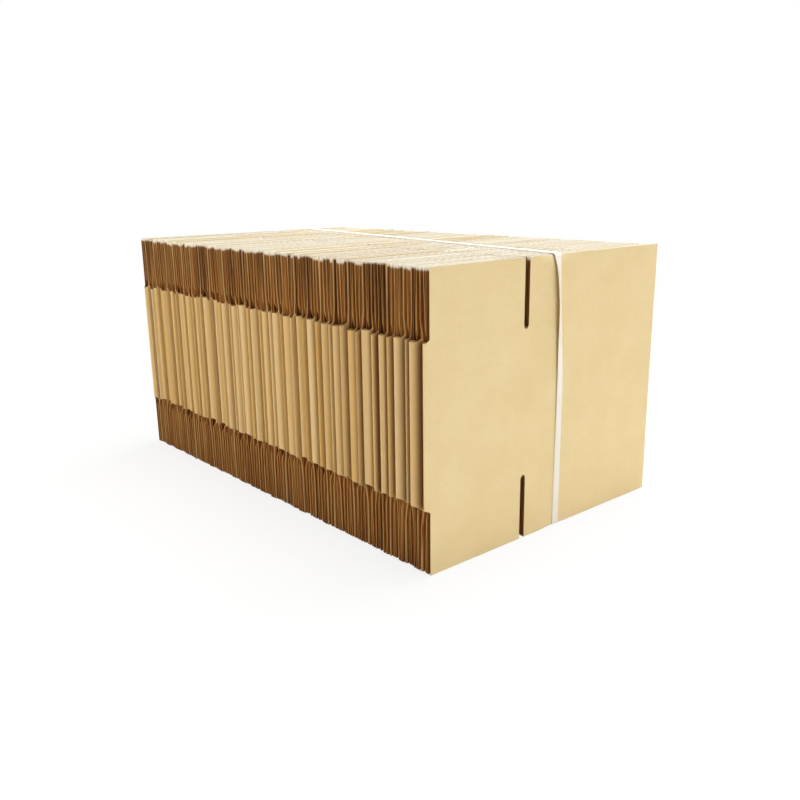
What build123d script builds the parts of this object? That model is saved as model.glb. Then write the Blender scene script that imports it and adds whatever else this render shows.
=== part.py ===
from build123d import *
import math
import os

# One flattened carton: the four walls between their creases, and the flaps
LONG_PANEL = 144.0
SHORT_PANEL = 86.0
BODY_HEIGHT = 103.0
FLAP_DEPTH = 43.0
BOARD = 3.0
FLAT_THICKNESS = 7.6
SLOT_WIDTH = 4.5

# How far a fold stands out past its creases, and the flats that it breaks into along the flutes:
# shares of its reach past the flaps, and of the thickness
FOLD_SWELL = 2.2
FOLD_SHARES = ((0.55, 0.07), (1.0, 0.36), (0.96, 0.66), (0.5, 0.94))

# The glued joint that closes the carton into a tube
TAB_WIDTH = 27.0
TAB_THICKNESS = 1.3
TAB_TAPER = 9.0

# The bundle: how many cartons, and how unevenly they stand
BOX_COUNT = 50
STAGGER = 0.7
LIFT = 0.6
STAGGER_SHARES = (0.1, -0.8, 0.5, -0.35, 0.9, -0.6, 0.25, 1.0, -0.45, 0.7, -1.0, 0.4, -0.15)
LIFT_SHARES = (0.5, 0.2, 0.8, 0.0, 0.6, 0.3, 1.0, 0.1, 0.7, 0.4, 0.9)

# The flat strap and where it crosses the faces, as shares of the flat width
STRAP_WIDTH = 6.0
STRAP_THICKNESS = 0.6
STRAP_LAP = 42.0
STRAP_PLAY = 0.2
STRAP_BITE = 1.5
BITE_HALF_WIDTH = 15.0
TOP_CROSSING_SHARE = 0.4996
LOW_CROSSING_SHARE = 0.526
BACK_CROSSING_SHARE = 0.78
BEND_SHARE = 0.92

# The turned stretch of the strap: heights as shares of the flat height, and shares of the full turn
TURN_ANGLE = 36.0
TURN_SHARES = (
    (0.58, 0.0),
    (0.70, 0.6),
    (0.83, 1.0),
    (0.92, 0.8),
    (0.975, 0.0),
)

OVERRUN = 5.0

FLAT_WIDTH = LONG_PANEL + SHORT_PANEL
FLAT_HEIGHT = BODY_HEIGHT + FLAP_DEPTH + FLAP_DEPTH
HALF_WIDTH = FLAT_WIDTH / 2
FLAP_EDGE_X = HALF_WIDTH - SLOT_WIDTH / 2
FOLD_REACH = SLOT_WIDTH / 2 + FOLD_SWELL
FRONT_SLOT_X = SHORT_PANEL - HALF_WIDTH
REAR_SLOT_X = LONG_PANEL - HALF_WIDTH
REAR_LAYER_Y = FLAT_THICKNESS - BOARD
BODY_TOP = FLAP_DEPTH + BODY_HEIGHT

STACK_DEPTH = BOX_COUNT * FLAT_THICKNESS
TURN_REACH = STRAP_WIDTH * math.sin(math.radians(TURN_ANGLE)) + STRAP_THICKNESS * math.cos(
    math.radians(TURN_ANGLE)
)
FRONT_Y = (TURN_REACH - STRAP_THICKNESS - STRAP_THICKNESS - STACK_DEPTH) / 2
BACK_Y = FRONT_Y + STACK_DEPTH
STRAP_TOP_Z = FLAT_HEIGHT + LIFT
STRAP_MIDDLE_Z = STRAP_TOP_Z / 2
TOP_X = (TOP_CROSSING_SHARE - 0.5) * FLAT_WIDTH
LOW_X = (LOW_CROSSING_SHARE - 0.5) * FLAT_WIDTH
BACK_X = (BACK_CROSSING_SHARE - 0.5) * FLAT_WIDTH
ASIDE = BACK_X - TOP_X
SKEW_SHARE = ASIDE / STACK_DEPTH
STRAP_BEND = BEND_SHARE * STRAP_BITE * math.sqrt(2)


def block(x_from, x_to, y_from, y_to, z_from, z_to):
    size = Box(
        x_to - x_from,
        y_to - y_from,
        z_to - z_from,
        align=(Align.MIN, Align.MIN, Align.MIN),
    )
    return Pos(x_from, y_from, z_from) * size


def fold_points(turned):
    """The outline of the right-hand fold, from the front layer round to the rear one."""
    points = []
    for reach_share, across in FOLD_SHARES:
        from_front = 1 - across if turned else across
        x_at = FLAP_EDGE_X + reach_share * FOLD_REACH
        points.append((x_at, from_front * FLAT_THICKNESS))
    return points[::-1] if turned else points


def body_tube(turned):
    """Four walls pressed flat, with a swollen fold at either side."""
    right = fold_points(turned)
    left = [(-x_at, y_at) for x_at, y_at in right[::-1]]
    outline = Polyline(
        (FLAP_EDGE_X, 0),
        *right,
        (FLAP_EDGE_X, FLAT_THICKNESS),
        (-FLAP_EDGE_X, FLAT_THICKNESS),
        *left,
        (-FLAP_EDGE_X, 0),
        close=True,
    )
    tube = Pos(0, 0, FLAP_DEPTH) * extrude(make_face(outline), BODY_HEIGHT)
    return tube - block(-FLAP_EDGE_X, FLAP_EDGE_X, BOARD, REAR_LAYER_Y, 0, FLAT_HEIGHT)


def layer_flaps(slot_x, y_from):
    """The two top and two bottom flaps of one layer, each side of its slot."""
    flaps = []
    for z_from, z_to in ((0, FLAP_DEPTH), (BODY_TOP, FLAT_HEIGHT)):
        for x_from, x_to in (
            (-FLAP_EDGE_X, slot_x - SLOT_WIDTH / 2),
            (slot_x + SLOT_WIDTH / 2, FLAP_EDGE_X),
        ):
            flaps.append(block(x_from, x_to, y_from, y_from + BOARD, z_from, z_to))
    return flaps


def flat_box(turned):
    box = body_tube(turned)
    for slot_x, y_from in ((FRONT_SLOT_X, 0), (REAR_SLOT_X, REAR_LAYER_Y)):
        for flap in layer_flaps(slot_x, y_from):
            box = box + flap
    return box.clean()


def round_slot_ends(slot_x, y_from):
    """Half-round ends that carry a layer's slots a little into the wall."""
    ends = []
    for z_level in (FLAP_DEPTH, BODY_TOP):
        axis_at = Pos(slot_x, y_from + BOARD / 2, z_level) * Rot(90, 0, 0)
        ends.append(axis_at * Cylinder(SLOT_WIDTH / 2, BOARD))
    return ends


def glue_tab():
    """The tapered tab that reaches behind the long wall from the short one."""
    left_x = REAR_SLOT_X - TAB_WIDTH
    right_x = REAR_SLOT_X + SLOT_WIDTH
    outline = Polyline(
        (right_x, FLAP_DEPTH),
        (left_x, FLAP_DEPTH + TAB_TAPER),
        (left_x, BODY_TOP - TAB_TAPER),
        (right_x, BODY_TOP),
        close=True,
    )
    sheet = make_face(Plane.XZ * outline)
    return extrude(sheet, TAB_THICKNESS, dir=(0, -1, 0)).moved(Location((0, REAR_LAYER_Y, 0)))


def open_joint(box):
    """Opens the seam on the rear layer and closes it behind with the tab."""
    seam = block(
        REAR_SLOT_X - SLOT_WIDTH / 2,
        REAR_SLOT_X + SLOT_WIDTH / 2,
        REAR_LAYER_Y,
        FLAT_THICKNESS + OVERRUN,
        FLAP_DEPTH - OVERRUN,
        BODY_TOP + OVERRUN,
    )
    return box - seam + glue_tab()


def bite(x_at, y_at, z_at, y_out, z_out):
    """A shallow hollow pressed into an edge where the strap bends over it."""
    hollow_radius = (BITE_HALF_WIDTH**2 + STRAP_BITE**2) / (STRAP_BITE + STRAP_BITE)
    reach = (hollow_radius - STRAP_BITE) / math.sqrt(2)
    across = Plane(
        origin=(x_at, y_at + y_out * reach, z_at + z_out * reach),
        x_dir=(1, 0, 0),
        z_dir=(0, -z_out, y_out),
    )
    return across * Cylinder(hollow_radius, STRAP_BITE + STRAP_BITE + OVERRUN)


def box_place(index):
    stagger = STAGGER * STAGGER_SHARES[index % len(STAGGER_SHARES)]
    lift = LIFT * LIFT_SHARES[index % len(LIFT_SHARES)]
    return Pos(stagger, FRONT_Y + index * FLAT_THICKNESS, lift)


def strap_bed(index):
    """The dent that the strap presses into the bottom edges of one carton."""
    y_from = FRONT_Y + index * FLAT_THICKNESS
    y_to = y_from + FLAT_THICKNESS
    x_from, x_to = sorted(LOW_X + SKEW_SHARE * (y_at - FRONT_Y) for y_at in (y_from, y_to))
    half = STRAP_WIDTH / 2 + STRAP_PLAY
    return block(
        x_from - half, x_to + half, y_from - OVERRUN, y_to + OVERRUN, -OVERRUN, STRAP_THICKNESS
    )


def front_bites():
    return [
        bite(TOP_X, FRONT_Y, STRAP_TOP_Z, -1, 1),
        bite(LOW_X, FRONT_Y, STRAP_THICKNESS, -1, -1),
    ]


def back_bites():
    return [
        bite(BACK_X, BACK_Y, STRAP_TOP_Z, 1, 1),
        bite(LOW_X + ASIDE, BACK_Y, STRAP_THICKNESS, 1, -1),
    ]


def placed_box(plain, index):
    box = plain
    cuts = [strap_bed(index)]
    if index == 0:
        for end in round_slot_ends(FRONT_SLOT_X, 0):
            box = box - end
        cuts += front_bites()
    if index == BOX_COUNT - 1:
        box = open_joint(box)
        cuts += back_bites()
    box = box_place(index) * box
    for cut in cuts:
        box = box - cut
    return box


def strap_ring(stretch):
    """The loop drawn in its own upright plane, from the front face backwards."""
    long_in = STACK_DEPTH * stretch
    long_out = (STACK_DEPTH + STRAP_THICKNESS + STRAP_THICKNESS) * stretch
    tall_in = STRAP_TOP_Z - STRAP_THICKNESS
    tall_out = STRAP_TOP_Z + STRAP_THICKNESS
    outer = RectangleRounded(long_out, tall_out, STRAP_BEND + STRAP_THICKNESS)
    inner = RectangleRounded(long_in, tall_in, STRAP_BEND)
    return Pos(long_in / 2, tall_out / 2) * (outer - inner)


def strap_half(front_x, keep_from_z, keep_to_z, back_from_z, back_to_z):
    """The part of the loop that lies between two heights in front and two at the back."""
    run = math.hypot(STACK_DEPTH, ASIDE)
    half_run = run / 2 + OVERRUN
    corner = (Align.MIN, Align.MIN)
    front_part = Pos(-OVERRUN, keep_from_z) * Rectangle(half_run, keep_to_z - keep_from_z, align=corner)
    back_part = Pos(run / 2, back_from_z) * Rectangle(half_run, back_to_z - back_from_z, align=corner)
    kept = strap_ring(run / STACK_DEPTH) & (front_part + back_part)
    upright = Plane(
        origin=(front_x - STRAP_WIDTH / 2, FRONT_Y, 0),
        x_dir=(ASIDE, STACK_DEPTH, 0),
        z_dir=(STACK_DEPTH, -ASIDE, 0),
    )
    return extrude(upright * kept, STRAP_WIDTH, dir=(1, 0, 0))


def front_section(height_share, turn_share):
    """One cut through the strap where its left edge stands off the box."""
    first, last = TURN_SHARES[0][0], TURN_SHARES[-1][0]
    climbed = (height_share - first) / (last - first)
    turn = math.radians(TURN_ANGLE * turn_share)
    right_x = LOW_X + (TOP_X - LOW_X) * climbed + STRAP_WIDTH / 2
    left_x = right_x - STRAP_WIDTH * math.cos(turn)
    left_y = FRONT_Y - STRAP_WIDTH * math.sin(turn)
    thick_x = STRAP_THICKNESS * (math.sin(turn) - SKEW_SHARE)
    thick_y = STRAP_THICKNESS * math.cos(turn)
    z_at = height_share * STRAP_TOP_Z
    outline = Polyline(
        (right_x, FRONT_Y, z_at),
        (left_x, left_y, z_at),
        (left_x + thick_x, left_y - thick_y, z_at),
        (right_x + thick_x, FRONT_Y - thick_y, z_at),
        close=True,
    )
    return make_face(outline)


def back_section(z_at, layer):
    """One cut through the strap on the back, where it leans across to its other half."""
    low_z = STRAP_MIDDLE_Z - STRAP_LAP / 2
    climbed = (z_at - low_z) / STRAP_LAP
    y_from = BACK_Y + layer * STRAP_THICKNESS
    y_to = y_from + STRAP_THICKNESS
    left_x = LOW_X + ASIDE + (TOP_X - LOW_X) * climbed - STRAP_WIDTH / 2
    from_x = left_x + SKEW_SHARE * (y_from - BACK_Y)
    to_x = left_x + SKEW_SHARE * (y_to - BACK_Y)
    outline = Polyline(
        (from_x, y_from, z_at),
        (to_x, y_to, z_at),
        (to_x + STRAP_WIDTH, y_to, z_at),
        (from_x + STRAP_WIDTH, y_from, z_at),
        close=True,
    )
    return make_face(outline)


def strap():
    """A flat loop round the stack, its ends lapped and welded behind."""
    turn_low_z = TURN_SHARES[0][0] * STRAP_TOP_Z
    turn_high_z = TURN_SHARES[-1][0] * STRAP_TOP_Z
    lap_low_z = STRAP_MIDDLE_Z - STRAP_LAP / 2
    lap_high_z = STRAP_MIDDLE_Z + STRAP_LAP / 2
    over_z = STRAP_TOP_Z + OVERRUN
    turned = loft([front_section(*row) for row in TURN_SHARES], ruled=True)
    low = strap_half(LOW_X, -OVERRUN, turn_low_z, -OVERRUN, lap_low_z)
    high = strap_half(TOP_X, turn_high_z, over_z, lap_high_z, over_z)
    whole = low + high + turned
    for layer in (0, 1):
        whole = whole + loft([back_section(z_at, layer) for z_at in (lap_low_z, lap_high_z)], ruled=True)
    return whole


def main():
    os.makedirs("parts", exist_ok=True)
    plain = [flat_box(False), flat_box(True)]
    for index in range(BOX_COUNT):
        box = placed_box(plain[index % 2], index)
        export_step(box, f"parts/flat_box_{index + 1:02d}.step")
    export_step(strap(), "parts/strap.step")


main()
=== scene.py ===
import math

import bmesh
import bpy
import numpy as np
from mathutils import Matrix, Vector


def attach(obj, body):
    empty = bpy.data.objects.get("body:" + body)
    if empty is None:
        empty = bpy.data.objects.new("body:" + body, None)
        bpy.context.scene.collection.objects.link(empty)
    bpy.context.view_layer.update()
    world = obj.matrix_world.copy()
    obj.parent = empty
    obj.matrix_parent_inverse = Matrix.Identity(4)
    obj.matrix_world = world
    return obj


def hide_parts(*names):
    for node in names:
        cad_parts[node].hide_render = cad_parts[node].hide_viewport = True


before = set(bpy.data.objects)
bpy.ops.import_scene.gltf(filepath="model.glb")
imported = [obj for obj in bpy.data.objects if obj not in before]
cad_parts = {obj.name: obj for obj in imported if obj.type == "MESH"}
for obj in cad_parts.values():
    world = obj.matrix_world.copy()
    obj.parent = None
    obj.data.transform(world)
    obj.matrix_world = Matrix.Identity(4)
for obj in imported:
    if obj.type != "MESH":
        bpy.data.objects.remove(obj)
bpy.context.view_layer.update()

mm = 0.001
scene = bpy.context.scene
scene.view_settings.view_transform = "Standard"
print("frame loaded:", len(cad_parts), "nodes")


def smooth(value):
    held = np.clip(value, 0.0, 1.0)
    return held * held * (3.0 - 2.0 * held)


# from 0 at start to 1, and from 1 down to 0 at end
def rising(value, start, over):
    return smooth((value - start) / over)


def falling(value, end, over):
    return smooth((end - value) / over)


def linear(hexColour):
    parts = [int(hexColour[i:i + 2], 16) / 255 for i in (0, 2, 4)]
    return [p / 12.92 if p <= 0.04045 else ((p + 0.055) / 1.055) ** 2.4 for p in parts] + [1.0]


mixA, mixB, mixResult = 6, 7, 2      # sockets of a Mix node for colours


# links take a node's first output, or the socket that is given
def addNode(tree, kind, links=None, values=None, **settings):
    made = tree.nodes.new(kind)
    for name, value in settings.items():
        setattr(made, name, value)
    for socket, value in (values or {}).items():
        made.inputs[socket].default_value = value
    for socket, source in (links or {}).items():
        if isinstance(source, bpy.types.Node):
            source = source.outputs[0]
        tree.links.new(source, made.inputs[socket])
    return made


def startMaterial(name, roughness, ior):
    made = bpy.data.materials.new(name)
    made.use_nodes = True
    tree = made.node_tree
    shader = tree.nodes["Principled BSDF"]
    shader.inputs["Roughness"].default_value = roughness
    shader.inputs["IOR"].default_value = ior
    return made, tree, shader


# Unbleached kraft paper, calendered on the machine: matt and straw-coloured, cloudy where the pulp
# lay unevenly, with fibres across the flutes. Its noses at the folds are painted browner, as painted
# shade for the dimmer, warmer light on the bundle's sides. Rubbed noses are paler, partly as a painted
# highlight.
# Between two folds it is painted darker brown still, as painted shade in the grooves.
kraftLook = {
    "light": "EBD6A4",
    "dark": "E2C994",
    "speck": "C9A56E",
    # painted shade: the browner fold noses, and the dark brown between two folds
    "bent": "D4A65A",
    "paintedGrooveShade": "74400A",
    "paleWearAndHighlight": "F0DCB4",
    "cloudWidth": 30.0,        # mm
    "fibreLength": 9.0,        # mm, drawn coarse so that it shows
    "fibreWidth": 0.9,         # mm
    "speckSize": 1.6,          # mm
    "flutePitch": 6.4,         # mm
    "cloudContrast": 1.4,
    "cloudShift": -0.56,
    "fibreContrast": 0.7,
    "fluteBands": 0.008,       # how much the flutes show as bands of colour
    "speckRange": (0.72, 0.80),
    "speckStrength": 0.3,
    "fluteRelief": 0.4,        # against the relief of the fibres
    "bumpStrength": 0.08,
    "bumpHeight": 0.15,        # mm
    "roughness": 0.82,
}
paperIor = 1.47


def kraftLiner(name, look):
    made, tree, shader = startMaterial(name, look["roughness"], paperIor)
    place = addNode(tree, "ShaderNodeTexCoord").outputs["Object"]
    inMm = addNode(tree, "ShaderNodeVectorMath", {0: place}, {"Scale": 1 / mm}, operation="SCALE")
    tone, bend, grooveShadeAmount, wear = (addNode(tree, "ShaderNodeAttribute", attribute_name=mark).outputs["Fac"]
                              for mark in ("boardTone", "foldSideShade", "grooveShadeMark", "wearAndHighlight"))
    cloud = addNode(tree, "ShaderNodeTexNoise", {"Vector": inMm},
                    {"Scale": 1 / look["cloudWidth"], "Detail": 4.0, "Roughness": 0.6})
    fibreScale = (1 / look["fibreLength"], 1 / look["fibreWidth"], 1 / look["fibreWidth"])
    stretched = addNode(tree, "ShaderNodeMapping", {"Vector": inMm}, {"Scale": fibreScale})
    fibre = addNode(tree, "ShaderNodeTexNoise", {"Vector": stretched},
                    {"Scale": 1.0, "Detail": 3.0, "Roughness": 0.65})
    fleck = addNode(tree, "ShaderNodeTexNoise", {"Vector": inMm},
                    {"Scale": 1 / look["speckSize"], "Detail": 1.0})
    speckFrom, speckTo = look["speckRange"]
    speck = addNode(tree, "ShaderNodeMapRange", {"Value": fleck},
                    {"From Min": speckFrom, "From Max": speckTo, "To Max": look["speckStrength"]})
    axes = addNode(tree, "ShaderNodeSeparateXYZ", {0: inMm})
    turns = addNode(tree, "ShaderNodeMath", {0: axes.outputs["X"]},
                    {1: 2 * math.pi / look["flutePitch"]}, operation="MULTIPLY")
    flutes = addNode(tree, "ShaderNodeMath", {0: turns}, operation="SINE")
    mottled = addNode(tree, "ShaderNodeMath", {0: cloud},
                      {1: look["cloudContrast"], 2: look["cloudShift"]}, operation="MULTIPLY_ADD")
    streaked = addNode(tree, "ShaderNodeMath", {0: fibre, 2: mottled},
                       {1: look["fibreContrast"]}, operation="MULTIPLY_ADD")
    banded = addNode(tree, "ShaderNodeMath", {0: flutes, 2: streaked},
                     {1: look["fluteBands"]}, operation="MULTIPLY_ADD")
    toned = addNode(tree, "ShaderNodeMath", {0: banded, 1: tone}, operation="ADD", use_clamp=True)
    colour = addNode(tree, "ShaderNodeMix", {0: toned},
                     {mixA: linear(look["light"]), mixB: linear(look["dark"])}, data_type="RGBA")
    # the browner fold noses and the dark grooves mixed in here are painted shade; the pale marks are
    # rubbing, partly a painted highlight
    for amount, shade in ((bend, "bent"), (grooveShadeAmount, "paintedGrooveShade"), (wear, "paleWearAndHighlight"), (speck, "speck")):
        colour = addNode(tree, "ShaderNodeMix", {0: amount, mixA: colour.outputs[mixResult]},
                         {mixB: linear(look[shade])}, data_type="RGBA")
    raised = addNode(tree, "ShaderNodeMath", {0: flutes, 2: fibre},
                     {1: look["fluteRelief"]}, operation="MULTIPLY_ADD")
    bump = addNode(tree, "ShaderNodeBump", {"Height": raised},
                   {"Strength": look["bumpStrength"], "Distance": look["bumpHeight"] * mm})
    tree.links.new(colour.outputs[mixResult], shader.inputs["Base Color"])
    tree.links.new(bump.outputs[0], shader.inputs["Normal"])
    return made


# Recycled fluting paper, corrugated between hot rolls: browner and rougher than the liner, with
# short dark fibres along the flutes.
flutingLook = {
    "light": "A66A2A",
    "dark": "66390C",
    "tip": "FFF7E4",
    "grainLength": 4.0,        # mm along the flute
    "grainWidth": 0.7,         # mm
    "roughness": 0.9,
}

# Liner edges from the slotting knives: torn fibres, uneven along the cut.
cutLook = {
    "light": "B48442",
    "dark": "865A22",
    "tip": "FFFAEC",
    "grainLength": 5.0,
    "grainWidth": 0.8,
    "roughness": 0.92,
}

# Inner liner, recycled kraft: two shades browner than the outer one, and painted darker still as shade
# for the slots and gaps it is seen in.
innerLook = {
    "light": "9C682A",
    "dark": "704412",
    "tip": "FDF4E0",
    "grainLength": 9.0,
    "grainWidth": 1.0,
    "roughness": 0.88,
}

# How the grain of the three brown papers spreads their tone, and stands out.
brownGrain = {
    "contrast": 0.9,
    "shift": 0.05,
    "bumpStrength": 0.35,
    "bumpHeight": 0.2,         # mm
}

# The top ends of the flaps are painted pale over the last millimetre or two, some more than others:
# painted light for the strong light from above, on cut ends that are a little paler themselves.
paintedTopLight = {
    "from": 186.6,             # mm above the floor
    "to": 188.2,
    "uneven": 1.6,             # mm, by the grain
    "byTone": 1.8,             # mm less on a dark flap
}


def brownPaper(name, look):
    made, tree, shader = startMaterial(name, look["roughness"], paperIor)
    place = addNode(tree, "ShaderNodeTexCoord").outputs["Object"]
    inMm = addNode(tree, "ShaderNodeVectorMath", {0: place}, {"Scale": 1 / mm}, operation="SCALE")
    tone = addNode(tree, "ShaderNodeAttribute", attribute_name="boardTone").outputs["Fac"]
    grainScale = (1 / look["grainWidth"], 1 / look["grainWidth"], 1 / look["grainLength"])
    stretched = addNode(tree, "ShaderNodeMapping", {"Vector": inMm}, {"Scale": grainScale})
    grain = addNode(tree, "ShaderNodeTexNoise", {"Vector": stretched},
                    {"Scale": 1.0, "Detail": 3.0, "Roughness": 0.7})
    spread = addNode(tree, "ShaderNodeMath", {0: grain},
                     {1: brownGrain["contrast"], 2: brownGrain["shift"]}, operation="MULTIPLY_ADD")
    toned = addNode(tree, "ShaderNodeMath", {0: spread, 1: tone}, operation="ADD", use_clamp=True)
    paper = addNode(tree, "ShaderNodeMix", {0: toned},
                    {mixA: linear(look["light"]), mixB: linear(look["dark"])}, data_type="RGBA")
    height = addNode(tree, "ShaderNodeSeparateXYZ", {0: inMm}).outputs["Z"]
    lowered = addNode(tree, "ShaderNodeMath", {0: tone, 2: height},
                      {1: -paintedTopLight["byTone"]}, operation="MULTIPLY_ADD")
    frayed = addNode(tree, "ShaderNodeMath", {0: grain, 2: lowered},
                     {1: paintedTopLight["uneven"]}, operation="MULTIPLY_ADD")
    halfUneven = paintedTopLight["uneven"] / 2
    # painted light: near the top the flaps' ends turn almost white, for the strong light from above
    tip = addNode(tree, "ShaderNodeMapRange", {"Value": frayed},
                  {"From Min": paintedTopLight["from"] + halfUneven, "From Max": paintedTopLight["to"] + halfUneven})
    tipped = addNode(tree, "ShaderNodeMix", {0: tip, mixA: paper.outputs[mixResult]},
                     {mixB: linear(look["tip"])}, data_type="RGBA")
    bump = addNode(tree, "ShaderNodeBump", {"Height": grain},
                   {"Strength": brownGrain["bumpStrength"], "Distance": brownGrain["bumpHeight"] * mm})
    tree.links.new(tipped.outputs[mixResult], shader.inputs["Base Color"])
    tree.links.new(bump.outputs[0], shader.inputs["Normal"])
    return made


cartonMaterials = [
    kraftLiner("kraftOuterLiner", kraftLook),
    brownPaper("kraftInnerLiner", innerLook),
    brownPaper("flutingMedium", flutingLook),
    brownPaper("knifeCutLinerEdge", cutLook),
]
faceSlot, innerSlot, flutingSlot, cutSlot = range(4)
print("paper materials made")


# One carton's blank, cut flat, in mm: x along the blank from the glued joint, y into the board, z up.
carton = {
    "shortPanel": 86.0,
    "longPanel": 144.0,
    "flapDepth": 43.0,
    "bodyHeight": 103.0,
    "board": 3.0,
    "flatThickness": 7.6,
    "slotWidth": 4.5,
    "liner": 0.42,
    "medium": 0.26,
    "flutePitch": kraftLook["flutePitch"],
    "stepsPerFlute": 8,
    "fluteEnd": 42.7,          # the flutes are crushed from here to the crease
    "foldSwell": 2.2,          # how far the folds stand out past their creases
    "foldSlotReach": 0.2,      # how round the slot ends are at the folds
    "tabWidth": 27.0,
    "tabTaper": 9.0,
    "tabThickness": 1.3,
    "tabRoot": 6.0,            # of the tab that lies under the wall it grows from
    "tabRow": 28.0,            # from its ends to its next row of points
    "slotSteps": 6,            # columns across a slot
    "foldReach": 6.0,          # beside a fold, where the columns stand closer
    "innerRows": (36.0, 47.0),         # rows of the inner liner beside the crease
    "mediumTop": 48.0,         # where the crushed medium at the folds ends
    "mediumReach": 8.0,        # how far it goes to either side
    "mediumSlack": 0.05,       # its room to the liners
    "extraApart": 0.8,         # least room beside an added column
    "sharpAngle": 38,          # degrees
}
touch = 0.01                   # mm, closer than this is the same place
flatWidth = carton["shortPanel"] + carton["longPanel"]
halfWidth = flatWidth / 2
flatHeight = carton["bodyHeight"] + 2 * carton["flapDepth"]
bodyLow = carton["flapDepth"]
bodyTop = bodyLow + carton["bodyHeight"]
slotX = carton["longPanel"] - halfWidth
blankLength = 2 * flatWidth
rightFold = carton["shortPanel"]
frontSlot = flatWidth
leftFold = flatWidth + carton["shortPanel"]
slotPlaces = (0.0, rightFold, frontSlot, leftFold, blankLength)
halfSlot = carton["slotWidth"] / 2


def stopsBetween(start, end, step):
    count = max(1, round((end - start) / step))
    return [start + (end - start) * i / count for i in range(count)]


# columns along the blank, closer together within foldReach of the two folds
def blankStops(panelStep, foldReach, foldStep, extra=()):
    stops = []
    edges = [halfSlot]
    for place in (rightFold, frontSlot, leftFold):
        edges += [place - halfSlot, place + halfSlot]
    edges.append(blankLength - halfSlot)
    afterFold, beforeFold = (edges[2], edges[6]), (edges[1], edges[5])
    for start, end in zip(edges, edges[1:]):
        if end - start < carton["slotWidth"] + touch:
            stops += stopsBetween(start, end, carton["slotWidth"] / carton["slotSteps"])
            continue
        inStart = start + foldReach if start in afterFold else start
        inEnd = end - foldReach if end in beforeFold else end
        if inStart > start:
            stops += stopsBetween(start, inStart, foldStep)
        stops += stopsBetween(inStart, inEnd, panelStep)
        if inEnd < end:
            stops += stopsBetween(inEnd, end, foldStep)
    stops.append(edges[-1])
    for place in extra:
        if min(abs(place - s) for s in stops) > carton["extraApart"]:
            stops.append(place)
    return sorted(stops)


def mirroredHeights(lower):
    return sorted(set(lower) | {flatHeight - z for z in lower})


def inSlot(s, z):
    if bodyLow < z < bodyTop:
        return False
    return min(abs(s - place) for place in slotPlaces) < halfSlot - touch


def flatSheet(stops, heights, depth, thickness, dropCell=None):
    sheet = bmesh.new()
    columns, rows = len(stops) - 1, len(heights) - 1
    bmesh.ops.create_grid(sheet, x_segments=columns, y_segments=rows, size=0.5)
    for v in sheet.verts:
        i, j = round((v.co.x + 0.5) * columns), round((v.co.y + 0.5) * rows)
        v.co = (stops[i], depth, heights[j])
    cut = []
    for face in sheet.faces:
        middle = face.calc_center_median()
        if inSlot(middle.x, middle.z) or (dropCell and dropCell(middle.x, middle.z)):
            cut.append(face)
    bmesh.ops.delete(sheet, geom=cut, context="FACES")
    for v in sheet.verts:      # half-round slot ends, cut a little into the wall
        place = min(slotPlaces, key=lambda p: abs(v.co.x - p))
        aside = abs(v.co.x - place)
        if aside < halfSlot - touch:
            reach = math.sqrt(halfSlot * halfSlot - aside * aside)
            if place in (rightFold, leftFold):
                reach *= carton["foldSlotReach"]
            if abs(v.co.z - bodyTop) < touch:
                v.co.z -= reach
            elif abs(v.co.z - bodyLow) < touch:
                v.co.z += reach
    bmesh.ops.solidify(sheet, geom=sheet.faces[:], thickness=thickness)
    sheet.normal_update()
    return sheet


def paintSheet(sheet, faceIndex, backIndex, edgeIndex):
    for face in sheet.faces:
        if face.normal.y < -0.9:
            face.material_index = faceIndex
        elif face.normal.y > 0.9:
            face.material_index = backIndex
        else:
            face.material_index = edgeIndex


def outerSheet(heights, extraStops):
    stops = blankStops(panelStep=14.0, foldReach=carton["foldReach"], foldStep=0.75, extra=extraStops)
    sheet = flatSheet(stops, heights, 0.0, carton["liner"])
    paintSheet(sheet, faceSlot, flutingSlot, cutSlot)
    return sheet


def innerSheet():
    heights = mirroredHeights([0, bodyLow, *carton["innerRows"], flatHeight / 2])
    stops = blankStops(panelStep=16.0, foldReach=carton["foldReach"], foldStep=3.0)
    sheet = flatSheet(stops, heights, carton["board"] - carton["liner"], carton["liner"])
    paintSheet(sheet, flutingSlot, innerSlot, cutSlot)
    return sheet


# the corrugated medium, in the flaps only; its wave comes with the folding
def fluteSheet():
    step = carton["flutePitch"] / carton["stepsPerFlute"]
    stops = blankStops(panelStep=step, foldReach=0, foldStep=step)
    heights = mirroredHeights([0, carton["fluteEnd"]])
    sheet = flatSheet(stops, heights, -carton["medium"] / 2, carton["medium"],
                      lambda s, z: bodyLow < z < bodyTop)
    paintSheet(sheet, flutingSlot, flutingSlot, flutingSlot)
    return sheet


# the crushed medium that shows in the slot ends at the folds
def foldMedium():
    end, slack = carton["mediumTop"], carton["mediumSlack"]

    def clearOfFolds(s, z):
        aside = min(abs(s - rightFold), abs(s - leftFold))
        return aside > carton["mediumReach"] or end < z < flatHeight - end

    stops = blankStops(panelStep=blankLength, foldReach=carton["foldReach"], foldStep=1.0)
    heights = mirroredHeights([bodyLow, end])
    crushed = carton["board"] - 2 * carton["liner"] - 2 * slack
    sheet = flatSheet(stops, heights, carton["liner"] + slack, crushed, clearOfFolds)
    paintSheet(sheet, flutingSlot, flutingSlot, faceSlot)
    return sheet


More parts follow.
